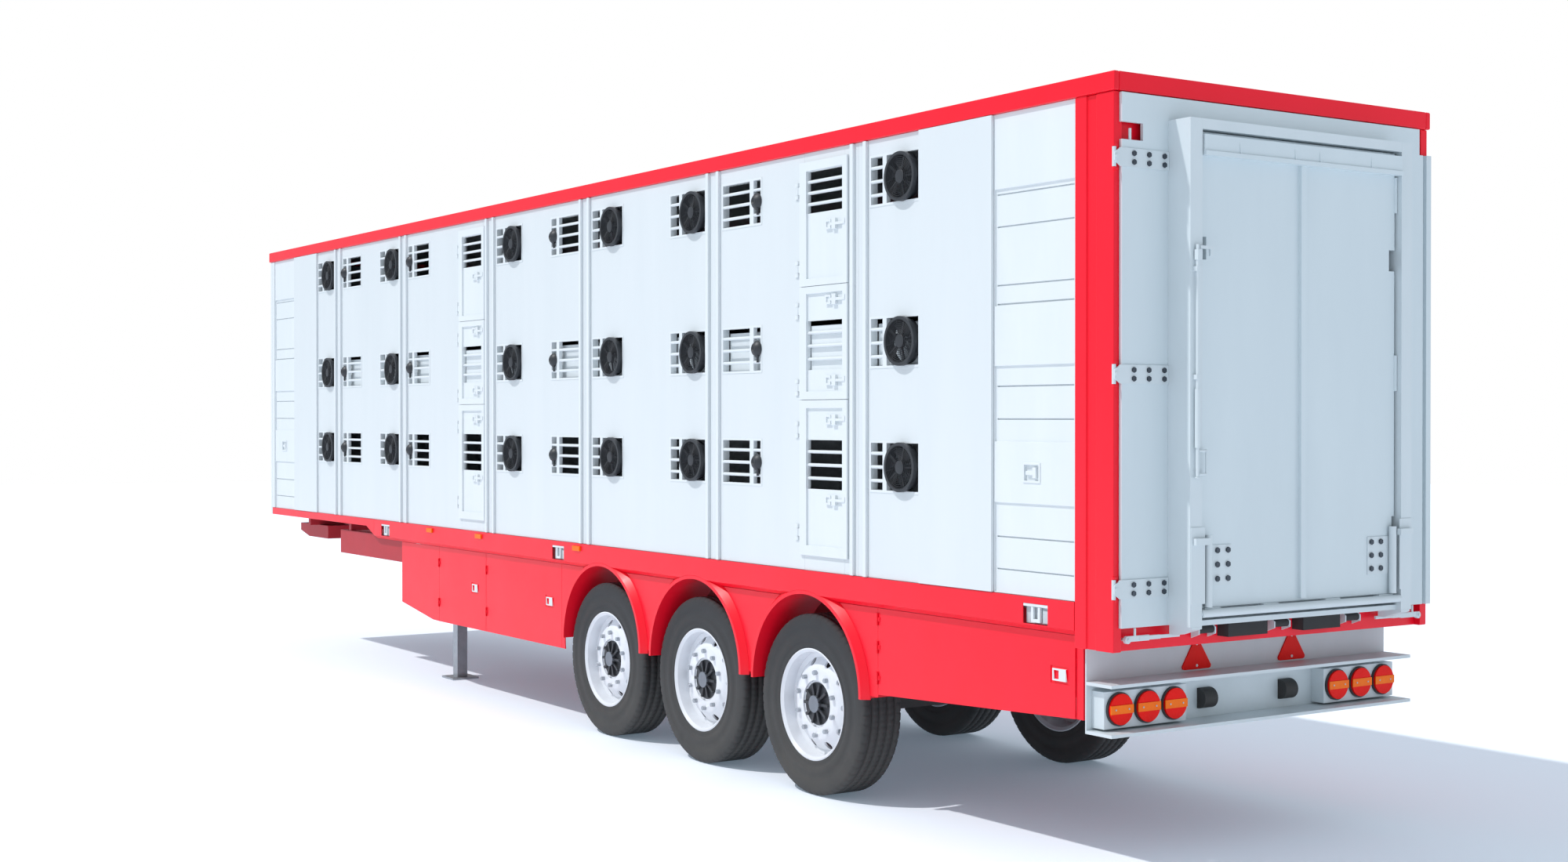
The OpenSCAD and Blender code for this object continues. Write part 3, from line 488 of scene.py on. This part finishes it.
# Guard: rings, the outer one's radius, the step inwards, the wire and its stand from the wall.
GUARD_RINGS, GUARD_RADIUS, RING_STEP = 9, 0.140, 0.0115
RING_WIRE, RING_STAND, RING_DOME = 0.0016, 0.0305, 0.0003
# Straight wires across the guard: their number, first angle, radius, ends and stand.
SPOKES, SPOKE_START, SPOKE_WIRE = 8, 0.2, 0.0018
SPOKE_INNER, SPOKE_OUTER, SPOKE_STAND = 0.040, 0.142, 0.0290
# Blades: their number, root and tip radius, and thickness.
BLADES, BLADE_ROOT, BLADE_TIP, BLADE_SHEET = 7, 0.036, 0.126, 0.0016


def fan_guard(sign):
    """Concentric wires with a domed centre: each ring sits back a little from the next inner
    one, and straight wires cross behind them."""
    parts = []
    for k in range(GUARD_RINGS):
        depth = sign * (WALL_FACE + RING_STAND + RING_DOME * k)
        parts.append(turned_ring(GUARD_RADIUS - RING_STEP * k, RING_WIRE, depth, 40, 5))
    for angle in np.arange(SPOKES) * TAU / SPOKES + SPOKE_START:
        along = np.linspace(SPOKE_INNER, SPOKE_OUTER, 4)[:, None]
        round_wire = np.linspace(0, TAU, 5, endpoint=False)[None]
        across = SPOKE_WIRE * np.cos(round_wire)
        x = along * math.cos(angle) - across * math.sin(angle)
        z = along * math.sin(angle) + across * math.cos(angle)
        y = sign * (WALL_FACE + SPOKE_STAND) + SPOKE_WIRE * np.sin(round_wire) + 0 * along
        parts.append((np.stack([x, y, z], -1), grid_faces(4, 5, False, True)))
    return stack(parts)


def fan_blades(sign):
    """Swept blades: each is a strip whose angle grows in proportion to the radius, while its
    width in angle and its tilt fall with the radius."""
    parts = []
    r = np.linspace(BLADE_ROOT, BLADE_TIP, 6)[:, None]
    w = np.linspace(-0.5, 0.5, 5)[None]
    out = r - BLADE_ROOT
    for k in range(BLADES):
        angle = k * TAU / BLADES + 3.0 * out + w * (0.62 - 1.5 * out)
        lift = w * 0.020 * (1.3 - 5.0 * out)
        front = np.stack([r * np.cos(angle), sign * (WALL_FACE - 0.004 + lift),
                          r * np.sin(angle)], -1)
        back = front - np.array([0, sign * BLADE_SHEET, 0])
        loop = np.concatenate([front, back[:, ::-1]], 1)
        parts.append((loop, grid_faces(6, 10, False, True)))
    return stack(parts)


def fan_cap(sign):
    """A shallow dome over the hub: height falls with the square of the radius."""
    r = np.array([0.0005, 0.015, 0.030, 0.041, 0.0435, 0.0435])[:, None]
    depth = np.array([0.0332, 0.0330, 0.0322, 0.0305, 0.0285, 0.0265])[:, None]
    a = np.linspace(0, TAU, 32, endpoint=False)[None]
    points = np.stack([r * np.cos(a), sign * (WALL_FACE + depth) + 0 * a, r * np.sin(a)], -1)
    return points, grid_faces(6, 32, False, True)


for side, sign in SIDES:
    centres = [(REAR_PLANE - s - FAN_INSET, 0.0, z) for s in FAN_STATIONS for z in DECK_HEIGHTS]
    for label, make in (("guards", fan_guard), ("blades", fan_blades), ("caps", fan_cap)):
        points, quads = join_copies(*make(sign), centres)
        new_piece(f"fan_{label}_{side}", points, quads, dark_plastic, "trailer")


# ---------------------------------------------------------------- floor, light, camera

# A disc just under the tyres: its radius, its sides and its drop below the ground plane.
GROUND_RADIUS, GROUND_SIDES, GROUND_DROP = 60.0, 96, 0.0005
ground = bpy.data.meshes.new("ground")
ring = np.linspace(0, TAU, GROUND_SIDES, endpoint=False)
rim = np.stack([GROUND_RADIUS * np.cos(ring), GROUND_RADIUS * np.sin(ring),
                0 * ring - GROUND_DROP], -1)
ground.from_pydata(rim, [], [list(range(GROUND_SIDES))])
# White floor with a faint glow of its own, which lifts the shadow to a pale blue.
pale = bpy.data.materials.new("pale studio floor")
pale.use_nodes = True
shader = pale.node_tree.nodes["Principled BSDF"]
shader.inputs["Base Color"].default_value = linear("#f4f8ff")
shader.inputs["Roughness"].default_value = 0.9
shader.inputs["Emission Color"].default_value = (0.6, 0.8, 1.0, 1.0)
shader.inputs["Emission Strength"].default_value = 0.16
ground.materials.append(pale)
floor = bpy.data.objects.new("ground", ground)
bpy.context.scene.collection.objects.link(floor)
floor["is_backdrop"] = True

# A pale blue sky lights the trailer; the camera sees plain white behind it.
world = bpy.data.worlds.new("studio")
bpy.context.scene.world = world
world.use_nodes = True
sky = world.node_tree.nodes["Background"]
sky.inputs[0].default_value = (0.84, 0.92, 1.0, 1.0)
sky.inputs[1].default_value = 0.66
seen = add(world.node_tree, "ShaderNodeBackground", {0: (1.0, 1.0, 1.0, 1.0), 1: 1.0})
ray = add(world.node_tree, "ShaderNodeLightPath").outputs["Is Camera Ray"]
backdrop = add(world.node_tree, "ShaderNodeMixShader", {},
               {0: ray, 1: sky.outputs[0], 2: seen.outputs[0]})
world.node_tree.links.new(backdrop.outputs[0], world.node_tree.nodes["World Output"].inputs[0])

# A crisp sun from the front left, high over the trailer.
SUN_DIRECTION = Vector((0.278, 0.625, -1.0))
sun_data = bpy.data.lights.new("key", "SUN")
sun_data.energy = 2.1
sun_data.angle = math.radians(1.5)
sun = bpy.data.objects.new("key", sun_data)
sun.rotation_euler = SUN_DIRECTION.to_track_quat("-Z", "Y").to_euler()
bpy.context.scene.collection.objects.link(sun)

# The camera stands behind the left rear corner and looks forward and across.
CAMERA_PLACE = (REAR_PLANE + 7.396, -8.242, 2.459)
CAMERA_YAW, CAMERA_PITCH = math.radians(146.4324), math.radians(-0.3995)
camera_data = bpy.data.cameras.new("camera")
camera_data.sensor_width = 36.0
camera_data.lens = 43.95
camera_data.clip_end = 300.0
camera = bpy.data.objects.new("camera", camera_data)
camera.location = CAMERA_PLACE
level = math.cos(CAMERA_PITCH)
forward = Vector((math.cos(CAMERA_YAW) * level, math.sin(CAMERA_YAW) * level,
                  math.sin(CAMERA_PITCH)))
camera.rotation_euler = forward.to_track_quat("-Z", "Y").to_euler()
bpy.context.scene.collection.objects.link(camera)
bpy.context.scene.camera = camera
bpy.context.scene.view_settings.view_transform = "Standard"

low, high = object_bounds()
